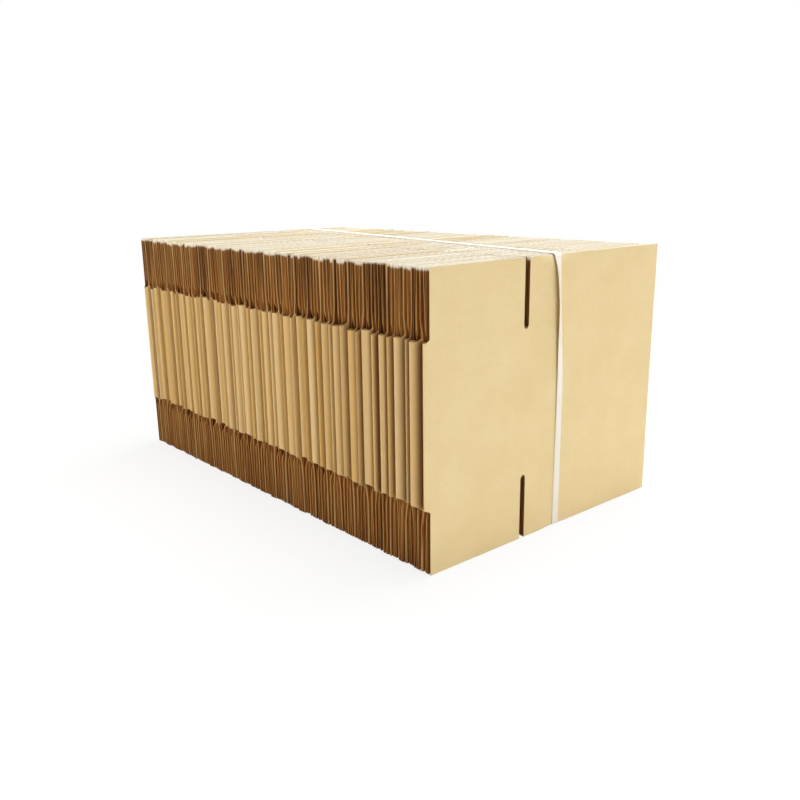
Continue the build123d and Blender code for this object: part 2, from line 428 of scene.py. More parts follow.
def glueTab():
    tip = halfSlot - carton["tabWidth"]
    stops = [tip, tip + carton["tabWidth"] / 2, halfSlot + carton["tabRoot"]]
    heights = [bodyLow, bodyLow + carton["tabRow"], bodyTop - carton["tabRow"], bodyTop]
    sheet = flatSheet(stops, heights, carton["board"], carton["tabThickness"])
    for v in sheet.verts:
        if v.co.x < tip + touch:
            if v.co.z < bodyLow + touch:
                v.co.z += carton["tabTaper"]
            elif v.co.z > bodyTop - touch:
                v.co.z -= carton["tabTaper"]
    paintSheet(sheet, faceSlot, innerSlot, cutSlot)
    return sheet


def meshPoints(mesh):
    flat = np.empty(len(mesh.vertices) * 3, np.float32)
    mesh.vertices.foreach_get("co", flat)
    return flat.reshape(-1, 3).astype(float)


def cartonBlank(name, heights, extraStops=()):
    whole = bmesh.new()
    isFlute = []
    flutes = fluteSheet()
    for sheet in (outerSheet(heights, extraStops), innerSheet(), flutes, foldMedium(), glueTab()):
        part = bpy.data.meshes.new("part")
        sheet.to_mesh(part)
        isFlute += [sheet is flutes] * len(sheet.verts)
        whole.from_mesh(part)
        sheet.free()
        bpy.data.meshes.remove(part)
    bmesh.ops.reverse_faces(whole, faces=whole.faces[:])      # folding turns the sheet over
    mesh = bpy.data.meshes.new(name)
    whole.to_mesh(mesh)
    whole.free()
    for material in cartonMaterials:
        mesh.materials.append(material)
    mesh.calc_loop_triangles()
    print(name, "has", len(mesh.loop_triangles), "triangles")
    return {"mesh": mesh, "flat": meshPoints(mesh), "isFlute": np.array(isFlute)}


# The bundle: where each carton stands, and how its folds crowd its neighbours.
bundle = {
    "count": 50,
    "frontY": -188.594,        # mm, of the first carton's face
    "stagger": 0.7,            # mm to either side
    "flapStagger": 0.4,        # share of the stagger that shows at the flaps' side edges
    "lift": 0.6,               # mm off the floor
    "staggerShares": (0.1, -0.8, 0.5, -0.35, 0.9, -0.6, 0.25, 1.0, -0.45, 0.7, -1.0, 0.4, -0.15),
    "liftShares": (0.5, 0.2, 0.8, 0.0, 0.6, 0.3, 1.0, 0.1, 0.7, 0.4, 0.9),
    "foldCrowding": 0.8,       # mm that a fold may push into the next carton's place
    "foldPairing": 1.4,        # mm more, where a wide fold sits beside a narrow one
    "looseCount": 20,          # cartons at the front that stand looser, with deeper folds
    "looseDepth": 1.4,         # mm
    "tightCount": 34,          # cartons over which the left folds draw in
    "tightSetBack": 3.7,       # mm, how far they are drawn in at the back
    "rightSetBack": (3.2, 1.8),        # mm, of the right folds: the first, the others
    "firstCrowding": -2.0,     # mm, of the second carton's fold in under the first one's
    "tipCrowding": 0.55,       # mm that a flap's end may push into the next carton's place
    "farGrooveShade": 0.18,           # painted shade: how brown it is between the folds at the back; 1 at the front
    "endGrooveShade": 0.25,           # painted shade of the same kind for the first and last carton, open to the light
    "creaseUneven": 1.3,       # mm that a fold's slots end too high or too low
    "flapLean": 0.7,           # mm, into the carton's own gap
    "leanShares": (-0.5, 1.0),         # of the lean; below zero a flap stands upright
    "flapSideways": 0.2,       # mm
    "gapClosing": 0.75,        # mm that the inner liners swell into the gap, next to the creases
    "footPaler": 1.4,          # how much paler a flap may be next to its crease
    "firstFlapOut": 1.1,       # mm, of the first carton's right flaps, flush with its fold
    "insidePaler": 4.0,        # how much paler the flaps are away from their side edges
    "firstSlotShade": 0.8,        # painted shade: tone of the first carton's inside, dark behind its slots
    "flapShort": 0.9,          # mm that a flap may fall short of the full height
    "lowShort": 0.4,           # share of that for the low flaps
    "lowPaintedLight": 0.42,          # painted light: how much paler the low flaps are, for the light from the floor and from behind
    "wallTone": (-0.15, 0.4),  # of the paper, from light to dark
    "flapTone": (-0.65, 0.8),
    "farPaintedLight": 0.35,          # painted light: how much paler the flaps are at the back, for the light from behind
    "noseWearAndHighlight": 0.4,           # most that a fold's nose is painted paler: rubbed, and partly a painted highlight
    "seed": 11,
}

# How unevenly a fold takes the bend, in mm or shares: each fold draws its own within these.
foldUneven = {
    "depth": (2.8, 4.6),       # of the rounded nose
    "setBack": (0.1, 1.6),     # from the carton's full reach
    "pinch": (0.05, 0.3),      # share of the thickness lost at the nose
    "dent": (-0.8, 1.0),       # a crease along the nose, where it is over zero
    "dentPlace": (-2.2, 2.2),
    "crest": (0.42, 0.7),      # where the nose stands out most, as a share of the thickness
    "roundness": (0.8, 1.15),
}

# The folds of the first and the last carton, pressed flat on the outside.
plainFold = {
    "depth": 1.2,
    "setBack": 0.1,
    "pinch": 0.3,
    "dent": 0.0,
    "dentPlace": 0.0,
    "crest": 0.04,
    "roundness": 1.5,
}

# Reaches along the board in mm. A pair says where something starts or ends, and over how much.
foldShape = {
    "arc": 4.8,                # of each half of the nose
    "ease": 25.0,              # over which a fold becomes flat wall
    "fade": 2.2,               # past the crease, where the fold ends
    "lip": 0.5,                # short of the crease, where it starts to
    "dentWidth": 0.9,
    "pinched": (2.0, 14.0),
    "crowdAside": (88.0, 24.0),        # from the middle of the carton
    "crowdBeyond": (-2.0, 16.0),       # past the crease
    "sideShadeReach": 5.0,         # of the painted shade that makes the nose browner
    "wornReach": 2.0,
    # where the painted groove shade starts, and where it ends
    "grooveShadeFrom": (0.7, 3.2),
    "grooveShadeTo": (20.0, 12.0),
    "skin": 2.5,               # into the first and last carton, which stay flat and clean outside
    "unevenReach": (5.0, 8.0),         # of a slot end's error: up and down, and along
}
flapShape = {
    "tipRise": 36.0,           # from the crease, over which the ends come to crowd
    "leanRise": 40.0,          # over which a lean or a shortness grows
    "footRise": 20.0,          # of the paler foot
    "sideEdge": (5.0, 6.0),    # in from the side edge, where a flap turns paler
    "besideSlot": (34.0, 14.0),        # from the first carton's slots, where its inside is painted dark as shade
    "firstOut": (90.0, 20.0),  # from the middle, where its right flaps stand out
    "swellFrom": (-1.0, 3.0),  # past the crease, where the inner liners swell
    "swellTo": (10.0, 16.0),
    "swellAlong": (22.0, 12.0),        # from the fold
}
crease = {
    "width": 0.9,
    "acrossDepth": 0.07,       # of the creases that the flaps turn on
    "uprightDepth": 0.04,      # of the creases between the walls
    "deepest": 0.1,
    "boardDepth": 1.5,         # into the board, over which they fade
    "fromFold": (5.0, 4.0),
}

# Where the strap lies, in mm.
strapPlace = {
    "width": 6.0,
    "thickness": 0.6,
    "topX": -0.092,            # at the front's top edge
    "lowX": 5.98,              # at its bottom edge
    "aside": 64.492,           # how far to the right it is at the back
    "skew": 0.169716,          # to the right for each mm back
    "innerTop": 189.6,
    "bend": 1.95,              # round the edges
    "lap": 42.0,
    "turnAngle": 36.0,         # degrees, where it stands off the front most
    "crossing": (0.5, 0.475),  # shares of the height: where it starts to lean to topX, and over how much
    "rimRound": 0.16,
    "sharpAngle": 50,          # degrees
    "topBite": (15.0, 2.3, 0.9),       # half width, depth inward, and drop of the edge
    "lowBite": (8.0, 1.2, 0.5),
    "biteHeight": 6.5,
    "biteEase": 1.6,           # more makes it start more suddenly
    "biteThrough": 4.0,        # into the board, over which a bite fades
    "biteRubAndHighlight": 0.8,            # how much it is painted pale: rubbed, and a painted highlight where the edge rolls over
    "bedAside": (8.0, 4.0),    # from the strap's middle, where the bottom edges lie on it
    "bedClear": 0.03,
    "pressedAside": (16.0, 8.0),       # where the top edges come up to it
    "pressedClear": 0.04,
    "edgeReach": 3.0,          # of the edges that are moved for it
}
backY = bundle["frontY"] + bundle["count"] * carton["flatThickness"]
draw = np.random.default_rng(bundle["seed"])


def borderDraw(reach, pairing=0.0):
    border = draw.uniform(-reach, reach, bundle["count"] + 1)
    border[1::2] += pairing
    border[::2] -= pairing
    border[0] = border[-1] = 0.0
    return border


# neighbours share each border, so that what one fold gains the next one gives
borders = {
    "leftFold": borderDraw(bundle["foldCrowding"], -bundle["foldPairing"]),
    "rightFold": borderDraw(bundle["foldCrowding"], bundle["foldPairing"]),
}
for name in borders:
    borders[name][1] = bundle["firstCrowding"]
for name in ("topLeft", "topRight", "lowLeft", "lowRight"):
    borders[name] = borderDraw(bundle["tipCrowding"])


# how far above or below the walls a point is; less than zero on the walls
def beyondCrease(z):
    return np.maximum(bodyLow - z, z - bodyTop)


def borderShift(index, x, z):
    atSide = rising(np.abs(x), *foldShape["crowdAside"])
    inBody = 1.0 - rising(beyondCrease(z), *foldShape["crowdBeyond"])
    fold = np.where(x < 0, borders["leftFold"][index], borders["rightFold"][index]) * atSide * inBody
    across = (x + halfWidth) / flatWidth
    top = borders["topLeft"][index] * (1 - across) + borders["topRight"][index] * across
    low = borders["lowLeft"][index] * (1 - across) + borders["lowRight"][index] * across
    rise = flapShape["tipRise"]
    return fold + top * rising(z, bodyTop, rise) + low * falling(z, bodyLow, rise)


# the rounded nose of a fold: where a point of the board goes, out from the middle and across
def foldNose(away, layer, share, bend):
    thick, board, swell = carton["flatThickness"], carton["board"], carton["foldSwell"]
    arc, ease, depth = foldShape["arc"], foldShape["ease"], bend["depth"]
    signed = away * layer
    angle = np.clip(away / arc, 0, 1) * math.pi / 2
    fade = 1 - smooth(away / ease)
    edge = halfWidth + swell - bend["setBack"] * fade - np.maximum(away - ease, 0)
    fromDent = (signed - bend["dentPlace"]) / foldShape["dentWidth"]
    dent = np.maximum(bend["dent"], 0.0) * np.exp(-fromDent ** 2)
    outX = edge - depth * (1 - np.cos(angle) ** bend["roundness"]) - dent
    outX = outX - np.clip(away - arc, 0, ease - arc) * (ease + swell - depth) / (ease - arc)
    inX = edge - board - np.minimum(away, ease) * (ease + swell - board) / ease
    crest = thick * bend["crest"]
    reach = np.where(layer < 0, crest, thick - crest)
    outY = crest + layer * reach * np.sin(angle) ** bend["roundness"]
    inY = thick / 2 + layer * (thick / 2 - board) * np.sin(angle)
    x = outX + (inX - outX) * share
    y = outY + (inY - outY) * share
    return x, crest + (y - crest) * (1 - bend["pinch"] * (1 - rising(away, *foldShape["pinched"])))


# the flaps lean into the gap of their own carton, each by its own amount, and differ in length and tone
def unevenFlaps(index, x, y, z, layer, tone):
    atFront, atBack = index == 0, index == bundle["count"] - 1
    newX, newY, newZ, newTone = x, y, z, tone
    farther = smooth(index / bundle["tightCount"])
    edgeIn, edgeOver = flapShape["sideEdge"]
    inside = bundle["insidePaler"] * falling(np.abs(x), halfWidth - edgeIn, edgeOver)
    bySlot = falling(np.abs(x + slotX), *flapShape["besideSlot"]) if atFront else 0.0
    upper, lower = (1, bodyTop, 1.0, 0.0), (-1, bodyLow, bundle["lowShort"], bundle["lowPaintedLight"])
    for sign, start, shortShare, paler in (upper, lower):
        rise = smooth(sign * (z - start) / flapShape["leanRise"])
        for onLayer in (-1.0, 1.0):
            for onRight in (False, True):
                lean = draw.uniform(*bundle["leanShares"]) * bundle["flapLean"]
                sideways = draw.uniform(-bundle["flapSideways"], bundle["flapSideways"])
                short = draw.uniform(0, bundle["flapShort"]) * shortShare
                # painted light: low flaps and flaps at the back are paler, for the light they get from
                # the floor and from behind
                flapTone = draw.uniform(*bundle["flapTone"]) - paler - bundle["farPaintedLight"] * farther
                outermost = (atFront and onLayer < 0) or (atBack and onLayer > 0)
                chosen = (layer == onLayer) & ((x > onLayer * slotX) == onRight)
                newX = np.where(chosen, newX + sideways * rise, newX)
                if not outermost:
                    newY = np.where(chosen, newY - onLayer * max(lean, 0.0) * rise, newY)
                    newZ = np.where(chosen, newZ - sign * short * rise, newZ)
                foot = bundle["footPaler"] * short / (bundle["flapShort"] * shortShare)
                footed = flapTone - foot * (1 - smooth(sign * (z - start) / flapShape["footRise"]))
                # painted shade: behind the first carton's slots its inside is darker
                shade = (footed - inside) * (1 - bySlot) + bundle["firstSlotShade"] * bySlot
                shade = 0.0 if outermost else shade
                newTone = np.where(chosen & (rise > 0), shade, newTone)
    if atFront:
        onFlap = rising(beyondCrease(z), -foldShape["lip"], foldShape["fade"])
        newX = newX + bundle["firstFlapOut"] * (rising(x, *flapShape["firstOut"]) * onFlap)
    return newX, newY, newZ, newTone


def foldBlank(blank, index):
    s, t, z = blank["flat"].T.copy()
    board, thick = carton["board"], carton["flatThickness"]
    flute = blank["isFlute"]
    pitch = carton["flutePitch"]
    waveHeight = (board - 2 * carton["liner"] - carton["medium"]) / 2
    wavePhase = draw.uniform(0, pitch)
    t[flute] += board / 2 + waveHeight * np.sin(2 * math.pi * (s[flute] + wavePhase) / pitch)
    toRight = s < (rightFold + leftFold) / 2
    along = s - np.where(toRight, rightFold, leftFold)
    side = np.where(toRight, 1.0, -1.0)
    layer = np.where((along > 0) == toRight, -1.0, 1.0)      # -1 is the front layer
    away = np.abs(along)
    atFront, atBack = index == 0, index == bundle["count"] - 1
    atEnd = atFront or atBack
    bend = {}
    for name, (low, high) in foldUneven.items():
        right, left = draw.uniform(low, high, 2)
        if atEnd:
            right = left = 1 - plainFold[name] if atBack and name == "crest" else plainFold[name]
        bend[name] = np.where(toRight, right, left)
    loose = 1 - float(smooth(index / bundle["looseCount"]))
    bend["depth"] = bend["depth"] + bundle["looseDepth"] * loose
    leftTight = bundle["tightSetBack"] * float(smooth(index / bundle["tightCount"]))
    rightTight = bundle["rightSetBack"][0 if atFront else 1]
    bend["setBack"] = bend["setBack"] + np.where(toRight, rightTight, leftTight)
    bodyX, bodyY = foldNose(away, layer, t / board, bend)
    flatX = halfWidth - away
    flatY = thick / 2 + layer * (thick / 2 - t)
    beyond = beyondCrease(z)
    folded = 1.0 - rising(beyond, -foldShape["lip"], foldShape["fade"])
    folded[flute] = 0.0
    x = side * (flatX + (bodyX - flatX) * folded)
    y = flatY + (bodyY - flatY) * folded
    swollen = rising(beyond, *flapShape["swellFrom"]) * (1 - rising(beyond, *flapShape["swellTo"]))
    swollen = swollen * falling(away, *flapShape["swellAlong"])
    y = y - layer * bundle["gapClosing"] * swollen * t / board
    tone = np.full(len(x), 0.0 if atEnd else draw.uniform(*bundle["wallTone"]))
    x, y, z, tone = unevenFlaps(index, x, y, z, layer, tone)
    across = np.exp(-(beyond / crease["width"]) ** 2)
    upright = np.exp(-((x - layer * slotX) / crease["width"]) ** 2) * (beyond < 0)
    pressed = crease["acrossDepth"] * across + crease["uprightDepth"] * upright
    pressed = np.clip(pressed, 0, crease["deepest"]) * np.exp(-t / crease["boardDepth"])
    y = y - layer * pressed * rising(away, *crease["fromFold"])
    if atFront:
        y = np.maximum(y, 0.0)
    if atBack:
        y = np.minimum(y, thick)
    y = y + borderShift(index, x, z) * (1 - y / thick) + borderShift(index + 1, x, z) * y / thick
    stagger = bundle["stagger"] * bundle["staggerShares"][index % len(bundle["staggerShares"])]
    x = x + stagger * (1 - (1 - bundle["flapStagger"]) * smooth(beyond / foldShape["fade"]))
    uneven = np.where(toRight, *draw.uniform(-bundle["creaseUneven"], bundle["creaseUneven"], 2))
    upReach, alongReach = foldShape["unevenReach"]
    if not atEnd:
        z = z + uneven * np.exp(-(beyond / upReach) ** 2 - (away / alongReach) ** 2)
    z = z + bundle["lift"] * bundle["liftShares"][index % len(bundle["liftShares"])]
    depthIn = y if atFront else thick - y if atBack else np.full(len(y), thick)
    x, y, z, rubAndHighlight = pressStrap(index, x, y, z, depthIn)
    inFold = folded * smooth(depthIn / foldShape["skin"])
    # painted shade: the paper between neighbouring folds is dark brown, most at the front
    grooveShadeAmount = bundle["farGrooveShade"] + (1 - bundle["farGrooveShade"]) * loose
    grooveShadeAmount = bundle["endGrooveShade"] if atEnd else grooveShadeAmount
    paintedGrooveShade = grooveShadeAmount * rising(away, *foldShape["grooveShadeFrom"]) * falling(away, *foldShape["grooveShadeTo"])
    # fold noses painted paler: rubbing, and partly a painted highlight on the crest
    paleWearAndHighlight = np.exp(-(away / foldShape["wornReach"]) ** 2) * inFold * draw.uniform(0.0, bundle["noseWearAndHighlight"])
    marks = {
        "boardTone": tone,
        # painted shade: the fold noses, which make the bundle's sides, are browner for the sides'
        # dimmer, warmer light
        "foldSideShade": np.exp(-(away / foldShape["sideShadeReach"]) ** 2) * inFold,
        "grooveShadeMark": paintedGrooveShade * inFold,
        "wearAndHighlight": np.clip(paleWearAndHighlight + rubAndHighlight, 0, 1),
    }
    return np.stack([x, y + bundle["frontY"] + index * thick, z], 1), marks


# the strap's bites in the first and last carton, its bed under every one, and the flaps pressed to it
def pressStrap(index, x, y, z, depthIn):
    rubAndHighlight = np.zeros(len(x))
    worldY = bundle["frontY"] + index * carton["flatThickness"] + y
    if index in (0, bundle["count"] - 1):
        atFront = index == 0
        inward = 1.0 if atFront else -1.0
        aside = 0.0 if atFront else strapPlace["aside"]
        bites = ((strapPlace["topX"], strapPlace["innerTop"] - z, 1.0, strapPlace["topBite"]),
                 (strapPlace["lowX"], z - strapPlace["thickness"], -1.0, strapPlace["lowBite"]))
        for bendX, fromEdge, sign, (biteHalfWidth, biteDepth, biteDrop) in bites:
            fromStrap = (x - bendX - aside) / biteHalfWidth
            hollow = np.clip(1 - fromStrap ** 2, 0, 1)
            near = np.clip(1 - np.maximum(fromEdge, 0) / strapPlace["biteHeight"], 0, 1)
            near = near ** strapPlace["biteEase"]
            through = np.clip(1 - depthIn / strapPlace["biteThrough"], 0, 1)
            y = y + inward * biteDepth * hollow * near * through
            z = z - sign * biteDrop * hollow * near * through
            # the bites are painted paler: rubbed board, and a painted highlight on the rolled edge
            rubAndHighlight = np.maximum(rubAndHighlight, hollow ** 0.5 * near * through * strapPlace["biteRubAndHighlight"])
    skewed = strapPlace["skew"] * (worldY - bundle["frontY"])
    reach = strapPlace["edgeReach"]
    over = falling(np.abs(x - strapPlace["lowX"] - skewed), *strapPlace["bedAside"])
    bed = (strapPlace["thickness"] + strapPlace["bedClear"]) * over
    z = np.where(z < reach, np.maximum(z, bed), z)
    unbitten = rubAndHighlight < 0.01
    under = falling(np.abs(x - strapPlace["topX"] - skewed), *strapPlace["pressedAside"]) * unbitten
    top = strapPlace["innerTop"] - strapPlace["pressedClear"]
    z = np.where(z > flatHeight - reach, z + (top - z) * under, z)
    return x, y, z, rubAndHighlight


# Rows of points up the outer liner, and the rows and columns added where the strap bites, in mm.
blankRows = {
    "low": [0, 30.0, 37.0, 39.0, 41.0, bodyLow, 45.5, flatHeight / 2],
    "bite": [1.2, 2.6, 4.4, 7.5, bodyLow - crease["width"], bodyLow + crease["width"]],
    "biteStep": 2.6,
    "front": (flatWidth + slotX - strapPlace["lowX"] - 32.0, 19),      # first column, and how many
    "back": (strapPlace["aside"] - slotX - 18.0, 17),
}
biteColumns = []
for side in ("front", "back"):
    start, count = blankRows[side]
    biteColumns += [start + blankRows["biteStep"] * i for i in range(count)]
plainBlank = cartonBlank("plainBlank", mirroredHeights(blankRows["low"]))
biteRows = mirroredHeights(blankRows["low"] + blankRows["bite"])
pressedBlank = cartonBlank("pressedBlank", biteRows, biteColumns)

for index in range(bundle["count"]):
    blank = pressedBlank if index in (0, bundle["count"] - 1) else plainBlank
    mesh = blank["mesh"].copy()
    mesh.name = f"flatCarton{index + 1:02d}"
    points, marks = foldBlank(blank, index)
    mesh.vertices.foreach_set("co", (points * mm).astype(np.float32).ravel())
    for name, values in marks.items():
        layer = mesh.attributes.new(name, "FLOAT", "POINT")
        layer.data.foreach_set("value", values.astype(np.float32))
    mesh.update()
    mesh.shade_smooth()
    mesh.set_sharp_from_angle(angle=math.radians(carton["sharpAngle"]))
    piece = bpy.data.objects.new(mesh.name, mesh)
    scene.collection.objects.link(piece)
    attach(piece, "root")
    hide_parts(f"flat_box_{index + 1:02d}")
print("cartons folded:", bundle["count"])


# Extruded polypropylene strapping: milky white and half gloss, so thin that light comes through, rolled
# with a fine diamond emboss, with pressed bars across the lap where the ends are welded.
strapLook = {
    "light": "F6F1E6",
    "dark": "ECE5D7",
    "emboss": 1.5,             # mm
    "cloudLength": 40.0,       # mm
    "weldLength": 26.0,        # mm
    "weldPitch": 1.7,          # mm
    "milkiness": 0.35,         # share of the light that spreads inside the strap
    "lightReach": 1.0,         # mm that it spreads
    "lightTint": (1.0, 0.97, 0.9),     # shares of that for red, green and blue
    "cloudWidth": 2.0,         # mm
    "patternTint": 0.12,       # how much the emboss shows as colour
    "bumpStrength": 0.3,
    "bumpHeight": 0.08,        # mm
    "roughness": 0.42,
    "ior": 1.49,
}

# Height up the front as a share of the strap's, and share of the full turn there.
strapTurn = (
    (0.25, 0.0), (0.36, 0.06), (0.45, 0.1), (0.58, 0.2), (0.655, 0.36), (0.71, 0.58),
    (0.77, 0.8), (0.83, 0.94), (0.886, 0.88), (0.92, 0.78), (0.95, 0.58), (0.975, 0.28),
)

# How the strap's rows of points are spread, in mm or in number.
strapRows = {
    "across": 4,
    "corner": 6,
    "top": 24,
    "bottom": 12,
    "lapStep": 2.0,
    "lapRise": 4,              # steps over which the outer end climbs onto the inner one
    "aboveLap": 150.0,
    "belowLap": 30.0,
    "frontLow": (28.0, 12.0),
}


def plasticStrap(name, look, weldMiddle):
    made, tree, shader = startMaterial(name, look["roughness"], look["ior"])
    shader.inputs["Subsurface Weight"].default_value = look["milkiness"]
    shader.inputs["Subsurface Radius"].default_value = look["lightTint"]
    shader.inputs["Subsurface Scale"].default_value = look["lightReach"] * mm
    flat = addNode(tree, "ShaderNodeAttribute", attribute_name="stripFlat").outputs["Vector"]
    axes = addNode(tree, "ShaderNodeSeparateXYZ", {0: flat})
    alongStrip, acrossStrip = axes.outputs["X"], axes.outputs["Y"]
    rate = 2 * math.pi / look["emboss"]
    waves = []
    for operation in ("ADD", "SUBTRACT"):
        slant = addNode(tree, "ShaderNodeMath", {0: alongStrip, 1: acrossStrip}, operation=operation)
        turns = addNode(tree, "ShaderNodeMath", {0: slant}, {1: rate}, operation="MULTIPLY")
        waves.append(addNode(tree, "ShaderNodeMath", {0: turns}, operation="SINE"))
    diamond = addNode(tree, "ShaderNodeMath", {0: waves[0], 1: waves[1]}, operation="MAXIMUM")
    fromWeld = addNode(tree, "ShaderNodeMath", {0: alongStrip}, {1: weldMiddle}, operation="SUBTRACT")
    weldAway = addNode(tree, "ShaderNodeMath", {0: fromWeld}, operation="ABSOLUTE")
    inWeld = addNode(tree, "ShaderNodeMath", {0: weldAway},
                     {1: look["weldLength"] / 2}, operation="LESS_THAN")
    barTurns = addNode(tree, "ShaderNodeMath", {0: fromWeld},
                       {1: 2 * math.pi / look["weldPitch"]}, operation="MULTIPLY")
    bars = addNode(tree, "ShaderNodeMath", {0: barTurns}, operation="SINE")
    pattern = addNode(tree, "ShaderNodeMix", {0: inWeld, 2: diamond, 3: bars}, data_type="FLOAT")
    cloudScale = (1 / look["cloudLength"], 1 / look["cloudWidth"], 1.0)
    stretched = addNode(tree, "ShaderNodeMapping", {"Vector": flat}, {"Scale": cloudScale})
    cloud = addNode(tree, "ShaderNodeTexNoise", {"Vector": stretched}, {"Scale": 1.0, "Detail": 3.0})
    milky = addNode(tree, "ShaderNodeMath", {0: pattern, 2: cloud},
                    {1: look["patternTint"]}, operation="MULTIPLY_ADD", use_clamp=True)
    colour = addNode(tree, "ShaderNodeMix", {0: milky},
                     {mixA: linear(look["light"]), mixB: linear(look["dark"])}, data_type="RGBA")
    bump = addNode(tree, "ShaderNodeBump", {"Height": pattern},
                   {"Strength": look["bumpStrength"], "Distance": look["bumpHeight"] * mm})
    tree.links.new(colour.outputs[mixResult], shader.inputs["Base Color"])
    tree.links.new(bump.outputs[0], shader.inputs["Normal"])
    return made


# rows along the strip, each with the left edge, right edge and outward side of its inner face
def strapStations():
    half, bend = strapPlace["width"] / 2, strapPlace["bend"]
    frontY, topZ, lowZ = bundle["frontY"], strapPlace["innerTop"], strapPlace["thickness"]
    topX, lowX, skew = strapPlace["topX"], strapPlace["lowX"], strapPlace["skew"]
    lapLow, lapStep = (topZ - strapPlace["lap"]) / 2, strapRows["lapStep"]
    lapSteps, lapRise = round(strapPlace["lap"] / lapStep), strapRows["lapRise"]
    rows = []

    def put(frontX, y, z, out):
        x = frontX + skew * (y - frontY)
        rows.append((Vector((x - half, y, z)), Vector((x + half, y, z)), Vector(out)))

    def corner(frontX, y, z, fromAngle):
        for i in range(strapRows["corner"] + 1):
            angle = math.radians(fromAngle + 90.0 / strapRows["corner"] * i)
            out = (0.0, math.cos(angle), math.sin(angle))
            put(frontX, y + bend * out[1], z + bend * out[2], out)

    def leaning(z):
        climbed = min(1.0, max(0.0, (z - lapLow) / strapPlace["lap"]))
        return lowX + (topX - lowX) * climbed

    for i in range(lapSteps + 1):
        z = lapLow + lapStep * i
        put(leaning(z), backY, z, (0, 1, 0))
    put(topX, backY, strapRows["aboveLap"], (0, 1, 0))
    corner(topX, backY - bend, topZ - bend, 0.0)
    for i in range(1, strapRows["top"]):
        put(topX, backY + (frontY - backY) * i / strapRows["top"], topZ, (0, 0, 1))
    corner(topX, frontY + bend, topZ - bend, 90.0)
    for heightShare, turnShare in reversed(strapTurn):
        climbed = rising(heightShare, *strapPlace["crossing"])
        turn = math.radians(strapPlace["turnAngle"] * turnShare)
        right = Vector((lowX + (topX - lowX) * climbed + half, frontY, heightShare * topZ))
        left = right - Vector((2 * half * math.cos(turn), 2 * half * math.sin(turn), 0.0))
        rows.append((left, right, Vector((math.sin(turn), -math.cos(turn), 0.0))))
    for z in strapRows["frontLow"]:
        put(lowX, frontY, z, (0, -1, 0))
    corner(lowX, frontY + bend, lowZ + bend, 180.0)
    for i in range(1, strapRows["bottom"]):
        put(lowX, frontY + (backY - frontY) * i / strapRows["bottom"], lowZ, (0, 0, -1))
    corner(lowX, backY - bend, lowZ + bend, 270.0)
    put(lowX, backY, strapRows["belowLap"], (0, 1, 0))
    for i in range(lapRise + 1):
        stepped = strapPlace["thickness"] * float(smooth(i / lapRise))
        put(lowX, backY + stepped, lapLow - lapStep * lapRise + lapStep * i, (0, 1, 0))
    for i in range(1, lapSteps + 1):
        z = lapLow + lapStep * i
        put(leaning(z), backY + strapPlace["thickness"], z, (0, 1, 0))
    return rows


def longRim(edge):
    a, b = (v.co for v in edge.verts)
    atRim = abs(abs(a.y) - strapPlace["width"] / 2) < touch
    isLong = abs(a.y - b.y) < touch < abs(a.x - b.x)
    return atRim and isLong and edge.calc_face_angle(0.0) > 1.0


def bentStrap():
    rows = strapStations()
    lengths = [0.0]
    for before, after in zip(rows, rows[1:]):
        lengths.append(lengths[-1] + ((after[0] + after[1]) / 2 - (before[0] + before[1]) / 2).length)
    width = strapPlace["width"]
    strip = bmesh.new()
    columns = len(rows) - 1
    bmesh.ops.create_grid(strip, x_segments=columns, y_segments=strapRows["across"], size=0.5)
    for v in strip.verts:
        i = round((v.co.x + 0.5) * columns)
        v.co = (lengths[i], v.co.y * width, 0.0)
    bmesh.ops.solidify(strip, geom=strip.faces[:], thickness=strapPlace["thickness"])
    strip.normal_update()
    bmesh.ops.bevel(strip, geom=[e for e in strip.edges if longRim(e)], offset=strapPlace["rimRound"],
                    segments=2, profile=0.5, affect="EDGES", material=-1)
    mesh = bpy.data.meshes.new("bundleStrap")
    strip.to_mesh(mesh)
    flat = meshPoints(mesh)

    def ofRows(part):
        axes = [[row[part][k] for row in rows] for k in range(3)]
        return np.stack([np.interp(flat[:, 0], lengths, values) for values in axes], 1)

    out = ofRows(2)
    out /= np.linalg.norm(out, axis=1)[:, None]
    across = (flat[:, 1] / width + 0.5)[:, None]
    height = (flat[:, 2] - flat[:, 2].min())[:, None]
    points = ofRows(0) * (1 - across) + ofRows(1) * across + out * height
    mesh.vertices.foreach_set("co", (points * mm).astype(np.float32).ravel())
    note = mesh.attributes.new("stripFlat", "FLOAT_VECTOR", "POINT")
    note.data.foreach_set("vector", flat.astype(np.float32).ravel())
    weldMiddle = lengths[-1] - strapPlace["lap"] / 2
    mesh.materials.append(plasticStrap("polypropyleneStrap", strapLook, weldMiddle))
    strip.clear()
    strip.from_mesh(mesh)
    bmesh.ops.recalc_face_normals(strip, faces=strip.faces[:])
    strip.to_mesh(mesh)
    strip.free()
    mesh.shade_smooth()
    mesh.set_sharp_from_angle(angle=math.radians(strapPlace["sharpAngle"]))
    return bpy.data.objects.new("bundleStrap", mesh)


strap = bentStrap()
scene.collection.objects.link(strap)
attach(strap, "root")
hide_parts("strap")
print("strap bent round the stack")


studio = {
    "floorSize": 40.0,         # m
    "floorColour": "F4F3F0",
    "floorRoughness": 0.9,
    "floorIor": 1.45,
    "shadowShare": 0.15,       # how much of the floor's own shading shows beside the bundle
    "shadowReach": (0.2, 0.7),         # m
    "worldStrength": 0.1,
    "aim": (0.0, 0.0, 0.09),   # m
    "overhead": (0.42, 0.0, 1.5, 1.2, 36.0),         # x, y, z and size in m, and watts
    "front": (0.2, -1.6, 0.35, 1.6, 12.8),
    "leftBack": (-2.2, 1.76, 0.58, 1.0, 41.0),
}


